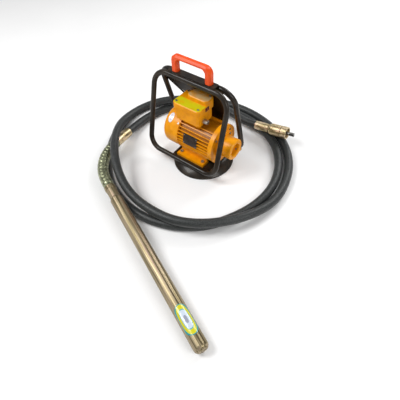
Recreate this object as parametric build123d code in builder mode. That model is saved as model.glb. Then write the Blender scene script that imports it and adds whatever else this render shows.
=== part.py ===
"""Concrete vibrator: an electric drive unit in a swivelling roll cage, a flexible shaft in a long hose and
a steel poker.  Millimetres, +Z up, +X along the motor shaft towards the output socket.
The origin is the centre of the base dish, on the floor."""
import os
from math import acos, cos, radians, sin, tan

from build123d import *

os.makedirs("parts", exist_ok=True)

# ---- Base and swivel ----
dish_radius = 132
dish_height = 36
dish_wall = 4
dish_rim = 5
dish_crown_radius = 70
dish_bulge = 7
boss_radius = 24
boss_floor = 6
thrust_ring_radius = 46
thrust_ring_height = 6
plate_length = 196
plate_thickness = 6
plate_corner = 12
plate_weld_depth = 1
plate_play = 0.2
pivot_radius = 8
pivot_clearance = 0.08
pivot_head_radius = 14
pivot_head_height = 5
washer_radius = 20
washer_thickness = 3

# ---- Roll cage ----
tube_radius = 10.65
tube_wall = 2.6
hoop_middle_x = -40.5
hoop_width = 351
hoop_foot_y = 104
hoop_top_y = 15
hoop_top_z = 375
hoop_foot_radius = 55
hoop_top_radius = 60
weep_hole_radius = 2
bar_middle_x = -40
bar_length = 220
bar_width = 30
bar_thickness = 5
panel_thickness = 2.5
panel_low_edge = 130
panel_slant_foot = (-48, 171)
panel_slant_head = 268
panel_right_x = 72
panel_corner_cut = 14
rod_radius = 3.5
rod_foot = (-48, 136)
rod_head = 262

# ---- Carrying handle ----
handle_middle_x = -41.5
handle_length = 183
handle_depth = 26
handle_height = 66
grip_height = 17
foot_length = 28
handle_outer_radius = 26
handle_inner_radius = 16
handle_chamfer = 6
handle_screw_radius = 3
handle_screw_length = 24

# ---- Motor ----
shaft_height = 138
housing_rear_x = -72
housing_front_x = 84
housing_radius = 70
fin_tip_radius = 83
fin_thickness = 3
fin_step = 10
fin_free_below = 35
fin_free_above = 22
stator_bore = 62
foot_rear_x = -76
foot_front_x = 62
foot_inner_y = 45
foot_outer_y = 88
foot_height = 12
foot_web = 13
foot_web_top = 100
foot_bolt_y = 70
foot_bolt_rear_x = -63
foot_bolt_front_x = 49
foot_bolt_radius = 4
foot_bolt_head_radius = 7
foot_bolt_head_height = 5.5
foot_nut_height = 5
box_pad_rear_x = -66
box_pad_front_x = 18
box_pad_width = 60
core_length = 90
core_inner_radius = 38
winding_length = 17
winding_outer_radius = 60
winding_inner_radius = 42
rotor_gap = 0.4
shaft_radius = 10
shaft_body_radius = 13
shaft_rear_x = -128
shaft_front_x = 126
bearing_radius = 23.5
bearing_width = 14
shaft_clearance = 0.05
shaft_passage = 4
end_shield_radius = 84
end_shield_thickness = 18
bearing_lip = 4
spigot_length = 6
spigot_wall = 8
rear_shield_thickness = 12
rear_lip = 3
rear_hub_radius = 32
shield_screw_circle = 66
shield_screw_radius = 2.5
shield_screw_head_radius = 4.5
shield_screw_head_height = 3
shield_screw_grip = 12

# ---- Fan and cover ----
cover_radius = 84
cover_wall = 1.5
cover_rear_x = -150
cover_rear_round = 16
grille_hole_radius = 2.5
grille_pitch = 12
fan_front_x = -90
fan_hub_length = 28
fan_hub_radius = 20
fan_radius = 68
fan_blade_thickness = 3
fan_blade_count = 8
cover_screw_x = -78
cover_screw_radius = 2
cover_screw_head_radius = 4
cover_screw_head_height = 2.4
cover_screw_length = 10

# ---- Output socket and latch ----
socket_flange_radius = 58
socket_flange_thickness = 8
socket_radius = 44
socket_mouth_x = 165
socket_bore = 27.5
socket_mouth_depth = 20
socket_chamber = 24
socket_mouth_chamfer = 3
socket_screw_circle = 51
socket_screw_radius = 3
socket_screw_head_radius = 5
socket_screw_head_height = 4
socket_screw_length = 16
dog_rear_x = 114
dog_length = 28
dog_radius = 20
dog_slot_width = 14
dog_slot_depth = 14
key_length = 10
key_width = 6
key_depth = 2.5
key_height = 2.5
latch_x = 152
latch_angle = 37
latch_boss_radius = 11
latch_boss_reach = 56
latch_pocket_radius = 7.3
latch_pocket_floor = 34
latch_cap_thickness = 3
latch_pin_radius = 4
latch_pin_clearance = 0.08
latch_pin_nose = 28
latch_collar_radius = 6.8
latch_collar_reach = 44
latch_collar_thickness = 2
latch_knob_radius = 8
latch_knob_reach = 64.5
latch_knob_height = 5
latch_spring_wire = 0.7
latch_spring_turns = 3
latch_spring_end_gap = 0.1

# ---- Terminal box ----
box_rear_x = -94
box_front_x = 28
box_near_y = -58
box_far_y = 34
box_foot_z = 223
box_height = 50
box_wall = 4
box_corner = 14
gasket_thickness = 2
lid_overhang = 6
lid_height = 23
lid_corner = 18
lid_wall = 3.5
lid_chamfer = 3
raised_rear_x = -66
raised_near_y = -14
raised_height = 17
lid_boss_radius = 6
lid_boss_inset = 8
lid_screw_radius = 2
lid_screw_head_radius = 4.5
lid_screw_head_height = 3
gland_y = -26
gland_z = 236
gland_thread_radius = 7.5
gland_body_radius = 11
gland_body_length = 20
gland_plug_radius = 5
switch_y = -12
switch_z = 287
switch_bezel_width = 21
switch_bezel_height = 15
switch_bezel_thickness = 1.5
switch_width = 18
switch_height = 12
switch_depth = 20
rocker_pivot_depth = 4.5
rocker_swing_radius = 7.5
rocker_height = 9
rocker_clearance = 0.4
rocker_axle_radius = 1.2
rocker_axle_clearance = 0.05
capacitor_radius = 20
capacitor_length = 62
terminal_block_length = 60
terminal_block_width = 26
terminal_block_height = 18

# ---- Plates and stickers ----
nameplate_x = -5
nameplate_length = 68
nameplate_width = 46
nameplate_angle = 168
nameplate_thickness = 1.2
badge_x = -121
badge_length = 22
badge_width = 44
badge_angle = 128
badge_thickness = 0.6

# ---- Hose, spring guard and poker ----
hose_radius = 18
hose_bore = 11
core_radius = 6.5
guard_radius = 22
guard_bore = 13
ferrule_radius = 21
ferrule_bore = 12
poker_radius = 25
poker_wall = 6
poker_end = (477, -653, 26)
neck_length = 70
neck_collar_length = 14
neck_collar_radius = 23
tip_start = 680
tip_length = 40
tip_flat_radius = 8
poker_bearing_width = 15
poker_bearing_first = 92
poker_bearing_last = 650
poker_shaft_radius = 8
poker_shaft_clearance = 0.05
rotor_weight_radius = 15
rotor_weight_offset = 2.5
rotor_weight_gap = 12
seal_start = 76
seal_width = 10
sticker_middle = 618
sticker_length = 105
sticker_width = 42
sticker_thickness = 0.4

# ---- Coupling on the hose's other end ----
coupling_direction = (40, 1, 6)
sleeve_length = 66
sleeve_radius = 19
spigot_radius = 14
collar_start = 72
collar_length = 56
collar_radius = 26
collar_lead_radius = 22
collar_lead = 10
collar_clearance = 0.3
collar_groove_count = 12
collar_groove_radius = 2
cup_start = 131
cup_length = 27
cup_radius = 27
cup_bore = 21
cup_web = 14
drive_tip_start = 50
drive_tip_end = 190
drive_tip_radius = 8
drive_tip_clearance = 0.08
drive_tip_flat = 9
drive_tip_flat_length = 20

# The hose as it lies: it leaves the ferrule at the left, runs once round on the floor under the poker,
# then round again on top of its first turn, and ends in the coupling at the back right.
hose_route = [
    (-368, -98, 37), (-383.9, -30.3, 26), (-390, 42, 18), (-374, 130, 18), (-322, 215, 18), (-245, 283, 18),
    (-152, 322, 18), (-48, 334, 18), (56, 324, 18), (150, 290, 18), (230, 236, 18), (290, 162, 18),
    (328, 78, 18), (345, -12, 18), (335, -112, 18), (300, -206, 18), (245, -296, 18), (160, -365, 18),
    (60, -405, 18), (-50, -412, 18), (-148, -390, 18), (-230, -354, 18), (-306, -294, 18),
    (-378, -212, 18), (-430, -125, 18), (-466, -35, 18), (-472, 65, 18), (-440, 160, 18),
    (-376, 246, 18), (-285, 318, 18), (-175, 360, 18), (-62, 380, 18), (54, 372, 18), (162, 335, 18),
    (258, 270, 18), (332, 180, 18), (374, 72, 18), (388, -40, 20), (366, -146, 38), (316, -240, 50),
    (242, -322, 57), (148, -375, 59), (42, -388, 58), (-60, -380, 58), (-150, -350, 70),
    (-232, -300, 88), (-300, -238, 99), (-352, -174, 98), (-398, -105, 82), (-422, -20, 66),
    (-415, 75, 60), (-372, 165, 60), (-290, 232, 62), (-190, 272, 62), (-88, 288, 56), (8, 280, 45),
    (57, 278, 43), (97, 279, 49),
]
# The spring guard bends from the poker's neck back to the ferrule.
guard_route = [
    (-163, -402, 61), (-211.8, -382.9, 63.7), (-258, -354, 61), (-297, -314, 60.5), (-324, -266, 59),
    (-342, -209, 55), (-344.6, -197.9, 53.2),
]

# ---- Worked out from the sizes above ----
ring_top_z = dish_height + thrust_ring_height
plate_top_z = ring_top_z + plate_play + plate_thickness
plate_middle_z = plate_top_z - plate_thickness / 2
hoop_rise = hoop_top_z - plate_middle_z
hoop_slant = (hoop_rise**2 + (hoop_foot_y - hoop_top_y) ** 2) ** 0.5
hoop_left_x = -hoop_width / 2
panel_side = tube_radius + panel_thickness
bar_foot_z = hoop_top_z + tube_radius
bar_top_z = bar_foot_z + bar_thickness
front_face_x = housing_front_x + end_shield_thickness
box_middle_x = (box_rear_x + box_front_x) / 2
box_middle_y = (box_near_y + box_far_y) / 2
box_length = box_front_x - box_rear_x
box_width = box_far_y - box_near_y
lid_foot_z = box_foot_z + box_height + gasket_thickness
lid_top_z = lid_foot_z + lid_height
lid_front_x = box_front_x + lid_overhang
lid_far_y = box_far_y + lid_overhang
raised_top_z = lid_top_z + raised_height
rotor_radius = core_inner_radius - rotor_gap
fin_corner_radius = (fin_tip_radius**2 + (fin_thickness / 2) ** 2) ** 0.5
latch_direction = (0, cos(radians(latch_angle)), -sin(radians(latch_angle)))
poker_direction = Vector(*poker_end) - Vector(*guard_route[0])
coupling_start = hose_route[-1]


# ---- Helpers ----
def along(origin, direction):
    """Plane whose X runs along an axis, so that a profile is drawn as distance along it and radius."""
    axis = Vector(*direction)
    return Plane(origin=origin, x_dir=axis, z_dir=axis.cross(Vector(0, 0, 1)))


def turn(side, points, mode=Mode.ADD):
    """Turned solid in the current part from (distance along, radius) points about the plane's X."""
    with BuildSketch(side) as profile:
        with BuildLine():
            Polyline(*points, close=True)
        make_face()
    revolve(profile.sketch, axis=Axis(side.origin, side.x_dir), mode=mode)


def ring(side, start, end, outer, inner=0, mode=Mode.ADD):
    """Ring or disc in the current part between two distances along an axis."""
    turn(side, [(start, inner), (start, outer), (end, outer), (end, inner)], mode)


def socket_screw(seat, shank_radius, shank_length, head_radius, head_height):
    """Hexagon-socket screw in the current part; the seat is under its head and faces outwards."""
    for radius, reach in ((head_radius, head_height), (shank_radius, -shank_length)):
        with BuildSketch(seat) as disc:
            Circle(radius)
        extrude(disc.sketch, amount=reach)
    with BuildSketch(seat.offset(head_height)) as hexagon:
        RegularPolygon(head_radius * 0.55, 6)
    extrude(hexagon.sketch, amount=-head_height * 0.6, mode=Mode.SUBTRACT)


def ball_bearing(side, start, width, outer, inner):
    """Two races and the balls between them, as separate solids in the current part."""
    race = (outer - inner) * 0.24
    pitch = (outer + inner) / 2
    ball = (outer - inner) / 2 - race
    ring(side, start, start + width, outer, outer - race)
    ring(side, start, start + width, inner + race, inner)
    count = int(pitch * 5 / ball / 2)
    for index in range(count):
        spot = Plane(side.origin + side.x_dir * (start + width / 2), x_dir=side.y_dir, z_dir=side.x_dir)
        with Locations(spot):
            with PolarLocations(pitch, 1, 360 * index / count):
                Sphere(ball * 0.97)


def route_line(route):
    """Straight runs joined by tangent arcs, each as round as its shorter run allows."""
    points = [Vector(*point) for point in route]
    bends = []
    for before, corner, after in zip(points, points[1:], points[2:]):
        half_turn = (corner - before).get_angle(after - corner) / 2
        shorter = min((corner - before).length, (after - corner).length)
        bends.append(0.45 * shorter / tan(radians(half_turn)))
    print("bend radii", [round(bend) for bend in bends])
    with BuildLine() as line:
        FilletPolyline(*points, radius=bends)
    return line.line


def tube_along(path, outer, inner=0):
    """Round tube, or a solid core, in the current part along a path."""
    with BuildSketch(Plane(origin=path @ 0, z_dir=path % 0)) as section:
        Circle(outer)
        if inner:
            Circle(inner, mode=Mode.SUBTRACT)
    sweep(section.sketch, path=path)


def rounded_block(plane, length, width, corner, height, mode=Mode.ADD):
    """Block with rounded upright corners in the current part, standing on a plane."""
    with BuildSketch(plane) as outline:
        RectangleRounded(length, width, corner)
    extrude(outline.sketch, amount=height, mode=mode)


motor_side = along((0, 0, shaft_height), (1, 0, 0))
latch_side = along((latch_x, 0, shaft_height), latch_direction)
poker_side = along(guard_route[0], poker_direction)
coupling_side = along(coupling_start, coupling_direction)


def facing(side, distance, radius, angle=0):
    """Plane at a radius from an axis, facing outwards; the angle turns it about the axis."""
    outward = side.y_dir.rotate(Axis((0, 0, 0), side.x_dir), angle)
    return Plane(side.origin + side.x_dir * distance + outward * radius, x_dir=side.x_dir, z_dir=outward)


def end_seats(distance, pitch_radius, forward=1):
    """Four planes on a pitch circle about the motor axis, facing along it."""
    spots = [facing(motor_side, distance, pitch_radius, angle) for angle in range(45, 360, 90)]
    return [Plane(spot.origin, x_dir=spot.z_dir, z_dir=(forward, 0, 0)) for spot in spots]


def drill(seats, radius, depth):
    """Round holes in the current part, going inwards from each seat."""
    for seat in seats:
        with BuildSketch(seat) as disc:
            Circle(radius)
        extrude(disc.sketch, amount=-depth, mode=Mode.SUBTRACT)


rear_face_x = housing_rear_x - rear_shield_thickness
rear_bearing_x = rear_face_x + rear_lip
front_shield_seats = end_seats(front_face_x, shield_screw_circle)
rear_shield_seats = end_seats(rear_face_x, shield_screw_circle, -1)
socket_seats = end_seats(front_face_x + socket_flange_thickness, socket_screw_circle)
cover_seats = [facing(motor_side, cover_screw_x, cover_radius, angle) for angle in range(45, 360, 90)]
gland_side = along((box_front_x, gland_y, gland_z), (1, 0, 0))
rocker_pivot_x = lid_front_x + switch_bezel_thickness - rocker_pivot_depth
rocker_side = Plane((rocker_pivot_x, switch_y, switch_z), x_dir=(0, 0, 1), z_dir=(0, 1, 0))

# ---- Base ----
with BuildPart() as base_dish:
    with BuildSketch(Plane.XZ):
        with BuildLine():
            Polyline((0, 0), (boss_radius, 0), (boss_radius, dish_height - dish_wall),
                     (dish_crown_radius, dish_height - dish_wall))
            SagittaArc((dish_crown_radius, dish_height - dish_wall), (dish_radius - dish_wall, 0), dish_bulge)
            Polyline((dish_radius - dish_wall, 0), (dish_radius, 0), (dish_radius, dish_rim))
            SagittaArc((dish_radius, dish_rim), (dish_crown_radius, dish_height), -dish_bulge)
            Polyline((dish_crown_radius, dish_height), (0, dish_height), (0, 0))
        make_face()
    revolve(axis=Axis.Z)
    with BuildSketch(Plane.XY.offset(boss_floor)):
        Circle(pivot_radius)
    extrude(amount=dish_height, mode=Mode.SUBTRACT)
base_dish.part.label = "base_dish"

with BuildPart() as thrust_ring:
    with BuildSketch(Plane.XY.offset(dish_height)):
        Circle(thrust_ring_radius)
        Circle(pivot_radius, mode=Mode.SUBTRACT)
    extrude(amount=thrust_ring_height)
thrust_ring.part.label = "thrust_ring"

washer_foot_z = plate_top_z + plate_play
with BuildPart() as pivot_washer:
    with BuildSketch(Plane.XY.offset(washer_foot_z)):
        Circle(washer_radius)
        Circle(pivot_radius, mode=Mode.SUBTRACT)
    extrude(amount=washer_thickness)
pivot_washer.part.label = "pivot_washer"

pivot_seat = Plane.XY.offset(washer_foot_z + washer_thickness)
with BuildPart() as pivot_bolt:
    socket_screw(pivot_seat, pivot_radius, washer_foot_z + washer_thickness - boss_floor,
                 pivot_head_radius, pivot_head_height)
pivot_bolt.part.label = "pivot_bolt"

# ---- Roll cage ----
front_slope = Vector(0, hoop_foot_y - hoop_top_y, hoop_rise)
front_plane = Plane((hoop_middle_x, -hoop_foot_y, plate_middle_z), x_dir=(1, 0, 0),
                    z_dir=Vector(1, 0, 0).cross(front_slope))
rear_slope = Vector(0, hoop_top_y - hoop_foot_y, hoop_rise)
rear_plane = Plane((hoop_middle_x, hoop_foot_y, plate_middle_z), x_dir=(1, 0, 0),
                   z_dir=Vector(1, 0, 0).cross(rear_slope))

with BuildPart() as front_hoop:
    with BuildLine(front_plane) as hoop_line:
        FilletPolyline((0, 0), (-hoop_left_x, 0), (-hoop_left_x, hoop_slant), (hoop_left_x, hoop_slant),
                       (hoop_left_x, 0), close=True,
                       radius=[0, hoop_foot_radius, hoop_top_radius, hoop_top_radius, hoop_foot_radius])
    tube_along(hoop_line.line, tube_radius, tube_radius - tube_wall)
    with BuildSketch(Plane((hoop_middle_x, -hoop_foot_y, plate_middle_z - tube_radius - 1))):
        Circle(weep_hole_radius)
    extrude(amount=tube_radius, mode=Mode.SUBTRACT)
front_hoop.part.label = "front_hoop"

with BuildPart() as rear_hoop:
    mirror(front_hoop.part, about=Plane.XZ)
rear_hoop.part.label = "rear_hoop"

with BuildPart() as swivel_plate:
    rounded_block(Plane.XY.offset(plate_top_z - plate_thickness), plate_length,
                  2 * (hoop_foot_y - tube_radius + plate_weld_depth), plate_corner, plate_thickness)
    add(front_hoop.part, mode=Mode.SUBTRACT)
    add(rear_hoop.part, mode=Mode.SUBTRACT)
    with BuildSketch(Plane.XY.offset(plate_top_z)):
        Circle(pivot_radius + pivot_clearance)
        with Locations((foot_bolt_rear_x, 0), (foot_bolt_front_x, 0)):
            with GridLocations(0, 2 * foot_bolt_y, 1, 2):
                Circle(foot_bolt_radius)
    extrude(amount=-plate_thickness, mode=Mode.SUBTRACT)
swivel_plate.part.label = "swivel_plate"

with BuildPart() as top_bar:
    with BuildSketch(Plane((bar_middle_x, 0, bar_foot_z))):
        Rectangle(bar_length, bar_width)
    extrude(amount=bar_thickness)
    fillet(top_bar.edges().filter_by(Axis.Z), bar_thickness)
    bar_under = Plane((handle_middle_x, 0, bar_foot_z), x_dir=(1, 0, 0), z_dir=(0, 0, -1))
    with Locations(bar_under):
        with GridLocations(handle_length - foot_length, 0, 2, 1):
            CounterSinkHole(handle_screw_radius, handle_screw_radius * 1.8)
top_bar.part.label = "top_bar"

panel_corner_x = hoop_middle_x + hoop_left_x
with BuildPart() as back_panel:
    with BuildSketch(Plane((0, hoop_foot_y, plate_middle_z), x_dir=(1, 0, 0),
                           z_dir=rear_plane.z_dir).offset(-panel_side)) as panel_face:
        with BuildLine():
            Polyline((panel_corner_x, panel_slant_head), panel_slant_foot,
                     (panel_slant_foot[0], panel_low_edge), (panel_right_x - panel_corner_cut, panel_low_edge),
                     (panel_right_x, panel_low_edge + panel_corner_cut), (panel_right_x, hoop_slant),
                     (panel_corner_x, hoop_slant), close=True)
        make_face()
        fillet(panel_face.vertices().group_by(Axis.Y)[-1].sort_by(Axis.X)[0], hoop_top_radius)
    extrude(amount=panel_thickness)
back_panel.part.label = "back_panel"

with BuildPart() as brace_rod:
    rod_plane = Plane((0, hoop_foot_y, plate_middle_z), x_dir=(1, 0, 0),
                      z_dir=rear_plane.z_dir).offset(-tube_radius - rod_radius)
    rod_start = rod_plane.from_local_coords(Vector(panel_corner_x, rod_head))
    rod_stop = rod_plane.from_local_coords(Vector(*rod_foot))
    rod_side = along(rod_start, rod_stop - rod_start)
    ring(rod_side, 0, (rod_stop - rod_start).length + rod_radius, rod_radius)
    split(bisect_by=Plane.YZ.offset(panel_slant_foot[0]), keep=Keep.BOTTOM)
brace_rod.part.label = "brace_rod"

# ---- Carrying handle ----
handle_plane = Plane((handle_middle_x, 0, bar_top_z), x_dir=(1, 0, 0), z_dir=(0, -1, 0))
with BuildPart() as handle:
    with BuildSketch(handle_plane) as handle_face:
        Rectangle(handle_length, handle_height, align=(Align.CENTER, Align.MIN))
        fillet(handle_face.vertices().group_by(Axis.Y)[-1], handle_outer_radius)
        with BuildSketch(mode=Mode.SUBTRACT) as hand_gap:
            Rectangle(handle_length - 2 * foot_length, handle_height - grip_height,
                      align=(Align.CENTER, Align.MIN))
            fillet(hand_gap.vertices().group_by(Axis.Y)[-1], handle_inner_radius)
    extrude(amount=handle_depth / 2, both=True)
    handle_sides = handle.faces().filter_by(Axis.Y)
    chamfer([edge for edge in handle_sides.edges() if edge.center().Z > bar_top_z + 1], handle_chamfer)
    with BuildSketch(Plane((handle_middle_x, 0, bar_top_z))):
        with GridLocations(handle_length - foot_length, 0, 2, 1):
            Circle(handle_screw_radius)
    extrude(amount=handle_screw_length, mode=Mode.SUBTRACT)
handle.part.label = "handle"

with BuildPart() as handle_screws:
    for side in (-1, 1):
        screw_x = handle_middle_x + side * (handle_length - foot_length) / 2
        screw_side = Plane((screw_x, 0, bar_foot_z), x_dir=(0, 0, 1), z_dir=(0, 1, 0))
        turn(screw_side, [(0, 0), (0, handle_screw_radius * 1.8),
                          (handle_screw_radius * 0.8, handle_screw_radius),
                          (bar_thickness + handle_screw_length, handle_screw_radius),
                          (bar_thickness + handle_screw_length, 0)])
handle_screws.part.label = "handle_screws"

# ---- Motor housing and stator ----
fin_angles = [angle for angle in range(0, 360, fin_step)
              if abs(angle - 270) > fin_free_below and abs(angle - 90) > fin_free_above]
housing_length = housing_front_x - housing_rear_x
foot_length_x = foot_front_x - foot_rear_x
foot_middle_x = (foot_front_x + foot_rear_x) / 2
foot_middle_y = (foot_inner_y + foot_outer_y) / 2

with BuildPart() as stator_housing:
    with BuildSketch(Plane.YZ.offset(housing_rear_x)):
        with Locations((0, shaft_height)):
            Circle(housing_radius)
        for angle in fin_angles:
            with Locations(Location((0, shaft_height), angle)):
                Rectangle(fin_tip_radius, fin_thickness, align=(Align.MIN, Align.CENTER))
    extrude(amount=housing_length)
    for side in (-1, 1):
        with BuildSketch(Plane((foot_middle_x, side * foot_middle_y, plate_top_z))):
            Rectangle(foot_length_x, foot_outer_y - foot_inner_y)
        extrude(amount=foot_height)
        web_middle_x = (housing_rear_x + foot_front_x) / 2
        with BuildSketch(Plane((web_middle_x, side * (foot_inner_y + foot_web / 2), plate_top_z))):
            Rectangle(foot_front_x - housing_rear_x, foot_web)
        extrude(amount=foot_web_top - plate_top_z)
    with BuildSketch(Plane(((box_pad_rear_x + box_pad_front_x) / 2, box_middle_y, shaft_height))):
        Rectangle(box_pad_front_x - box_pad_rear_x, box_pad_width)
    extrude(amount=box_foot_z - shaft_height)
    with BuildSketch(Plane.XY.offset(plate_top_z)):
        with Locations((foot_bolt_rear_x, 0), (foot_bolt_front_x, 0)):
            with GridLocations(0, 2 * foot_bolt_y, 1, 2):
                Circle(foot_bolt_radius)
    extrude(amount=foot_height, mode=Mode.SUBTRACT)
    ring(motor_side, housing_rear_x, housing_front_x, stator_bore, mode=Mode.SUBTRACT)
    drill(front_shield_seats, shield_screw_radius, end_shield_thickness + shield_screw_grip)
    drill(rear_shield_seats, shield_screw_radius, rear_shield_thickness + shield_screw_grip)
stator_housing.part.label = "stator_housing"

with BuildPart() as stator_core:
    ring(motor_side, -core_length / 2, core_length / 2, stator_bore, core_inner_radius)
stator_core.part.label = "stator_core"

with BuildPart() as stator_windings:
    for end in (-core_length / 2 - winding_length, core_length / 2):
        ring(motor_side, end, end + winding_length, winding_outer_radius, winding_inner_radius)
    fillet(stator_windings.edges().filter_by(GeomType.CIRCLE), winding_length * 0.3)
stator_windings.part.label = "stator_windings"

with BuildPart() as foot_bolts:
    for bolt_x in (foot_bolt_rear_x, foot_bolt_front_x):
        for side in (-1, 1):
            seat = Plane((bolt_x, side * foot_bolt_y, plate_top_z + foot_height))
            socket_screw(seat, foot_bolt_radius, foot_height + plate_thickness + foot_nut_height,
                         foot_bolt_head_radius, foot_bolt_head_height)
foot_bolts.part.label = "foot_bolts"

with BuildPart() as foot_nuts:
    with BuildSketch(Plane.XY.offset(plate_top_z - plate_thickness)):
        with Locations((foot_bolt_rear_x, 0), (foot_bolt_front_x, 0)):
            with GridLocations(0, 2 * foot_bolt_y, 1, 2):
                RegularPolygon(foot_bolt_head_radius, 6)
                Circle(foot_bolt_radius, mode=Mode.SUBTRACT)
    extrude(amount=-foot_nut_height)
foot_nuts.part.label = "foot_nuts"

# ---- End shields and bearings ----
front_bearing_x = housing_front_x
with BuildPart() as front_end_shield:
    turn(motor_side, [(housing_front_x - spigot_length, stator_bore - spigot_wall),
                      (housing_front_x - spigot_length, stator_bore), (housing_front_x, stator_bore),
                      (housing_front_x, end_shield_radius), (front_face_x, end_shield_radius),
                      (front_face_x, shaft_radius + shaft_passage),
                      (front_face_x - bearing_lip, shaft_radius + shaft_passage),
                      (front_face_x - bearing_lip, bearing_radius), (front_bearing_x, bearing_radius),
                      (housing_front_x, stator_bore - spigot_wall)])
    drill(front_shield_seats, shield_screw_radius, end_shield_thickness)
    drill(socket_seats, socket_screw_radius, socket_screw_length)
front_end_shield.part.label = "front_end_shield"

with BuildPart() as rear_end_shield:
    turn(motor_side, [(rear_face_x, shaft_radius + shaft_passage), (rear_face_x, cover_radius - cover_wall),
                      (housing_rear_x, cover_radius - cover_wall), (housing_rear_x, stator_bore),
                      (housing_rear_x + spigot_length, stator_bore),
                      (housing_rear_x + spigot_length, stator_bore - spigot_wall),
                      (housing_rear_x, stator_bore - spigot_wall), (housing_rear_x, rear_hub_radius),
                      (rear_bearing_x + bearing_width, rear_hub_radius),
                      (rear_bearing_x + bearing_width, bearing_radius), (rear_bearing_x, bearing_radius),
                      (rear_bearing_x, shaft_radius + shaft_passage)])
    drill(rear_shield_seats, shield_screw_radius, rear_shield_thickness)
    drill(cover_seats, cover_screw_radius, cover_screw_length)
rear_end_shield.part.label = "rear_end_shield"

with BuildPart() as end_shield_screws:
    for seat in front_shield_seats:
        socket_screw(seat, shield_screw_radius, end_shield_thickness + shield_screw_grip,
                     shield_screw_head_radius, shield_screw_head_height)
    for seat in rear_shield_seats:
        socket_screw(seat, shield_screw_radius, rear_shield_thickness + shield_screw_grip,
                     shield_screw_head_radius, shield_screw_head_height)
end_shield_screws.part.label = "end_shield_screws"

with BuildPart() as front_bearing:
    ball_bearing(motor_side, front_bearing_x, bearing_width, bearing_radius, shaft_radius + shaft_clearance)
front_bearing.part.label = "front_bearing"

with BuildPart() as rear_bearing:
    ball_bearing(motor_side, rear_bearing_x, bearing_width, bearing_radius, shaft_radius + shaft_clearance)
rear_bearing.part.label = "rear_bearing"

# ---- Rotor ----
key_x = shaft_front_x - key_length / 2
key_seat = Plane((key_x, 0, shaft_height + shaft_radius - key_depth))
with BuildPart() as rotor_shaft:
    turn(motor_side, [(shaft_rear_x, 0), (shaft_rear_x, shaft_radius),
                      (-core_length / 2 - winding_length, shaft_radius),
                      (-core_length / 2 - winding_length, shaft_body_radius),
                      (core_length / 2 + winding_length, shaft_body_radius),
                      (core_length / 2 + winding_length, shaft_radius), (shaft_front_x, shaft_radius),
                      (shaft_front_x, 0)])
    with BuildSketch(key_seat):
        Rectangle(key_length, key_width)
    extrude(amount=key_depth, mode=Mode.SUBTRACT)
rotor_shaft.part.label = "rotor_shaft"

with BuildPart() as rotor_core:
    ring(motor_side, -core_length / 2, core_length / 2, rotor_radius, shaft_body_radius)
rotor_core.part.label = "rotor_core"

with BuildPart() as shaft_key:
    with BuildSketch(key_seat):
        Rectangle(key_length, key_width)
    extrude(amount=key_depth + key_height)
shaft_key.part.label = "shaft_key"

with BuildPart() as output_dog:
    ring(motor_side, dog_rear_x, dog_rear_x + dog_length, dog_radius, shaft_radius)
    with BuildSketch(Plane.YZ.offset(dog_rear_x + dog_length)):
        with Locations((0, shaft_height)):
            Rectangle(dog_slot_width, 2 * dog_radius)
    extrude(amount=-dog_slot_depth, mode=Mode.SUBTRACT)
    with BuildSketch(Plane((dog_rear_x, 0, shaft_height))):
        Rectangle(2 * (shaft_front_x - dog_rear_x), key_width)
    extrude(amount=shaft_radius + key_height, mode=Mode.SUBTRACT)
output_dog.part.label = "output_dog"

with BuildPart() as cooling_fan:
    ring(motor_side, fan_front_x - fan_hub_length, fan_front_x, fan_hub_radius, shaft_radius)
    ring(motor_side, fan_front_x - fan_blade_thickness, fan_front_x, fan_radius * 0.7, shaft_radius)
    with BuildSketch(Plane.YZ.offset(fan_front_x)):
        with Locations((0, shaft_height)):
            with PolarLocations((fan_hub_radius + fan_radius) / 2, fan_blade_count):
                Rectangle(fan_radius - fan_hub_radius + 1, fan_blade_thickness)
    extrude(amount=-fan_hub_length)
cooling_fan.part.label = "cooling_fan"

# ---- Fan cover ----
with BuildPart() as fan_cover:
    ring(motor_side, cover_rear_x, housing_rear_x, cover_radius)
    fillet(fan_cover.faces().sort_by(Axis.X)[0].edges(), cover_rear_round)
    offset(amount=-cover_wall, openings=fan_cover.faces().sort_by(Axis.X)[-1])
    with BuildSketch(Plane.YZ.offset(cover_rear_x)):
        with Locations((0, shaft_height)):
            for circle in range(1, int((cover_radius - cover_rear_round) / grille_pitch)):
                with PolarLocations(circle * grille_pitch, 6 * circle):
                    Circle(grille_hole_radius)
    extrude(amount=cover_wall, mode=Mode.SUBTRACT)
    drill(cover_seats, cover_screw_radius, cover_screw_length)
fan_cover.part.label = "fan_cover"

with BuildPart() as fan_cover_screws:
    for seat in cover_seats:
        socket_screw(seat, cover_screw_radius, cover_screw_length, cover_screw_head_radius,
                     cover_screw_head_height)
fan_cover_screws.part.label = "fan_cover_screws"

# ---- Output socket and its latch ----
socket_floor_x = front_face_x + socket_flange_thickness
with BuildPart() as output_socket:
    ring(motor_side, front_face_x, socket_floor_x, socket_flange_radius)
    ring(motor_side, socket_floor_x, socket_mouth_x, socket_radius)
    ring(motor_side, front_face_x, socket_mouth_x, socket_chamber, mode=Mode.SUBTRACT)
    ring(motor_side, socket_mouth_x - socket_mouth_depth, socket_mouth_x, socket_bore, mode=Mode.SUBTRACT)
    chamfer(output_socket.faces().sort_by(Axis.X)[-1].edges(), socket_mouth_chamfer)
    ring(latch_side, socket_bore + socket_mouth_chamfer, latch_boss_reach, latch_boss_radius)
    ring(latch_side, 0, latch_boss_reach, latch_pin_radius + latch_pin_clearance, mode=Mode.SUBTRACT)
    ring(latch_side, latch_pocket_floor, latch_boss_reach, latch_pocket_radius, mode=Mode.SUBTRACT)
    drill(socket_seats, socket_screw_radius, socket_flange_thickness)
output_socket.part.label = "output_socket"

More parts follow.
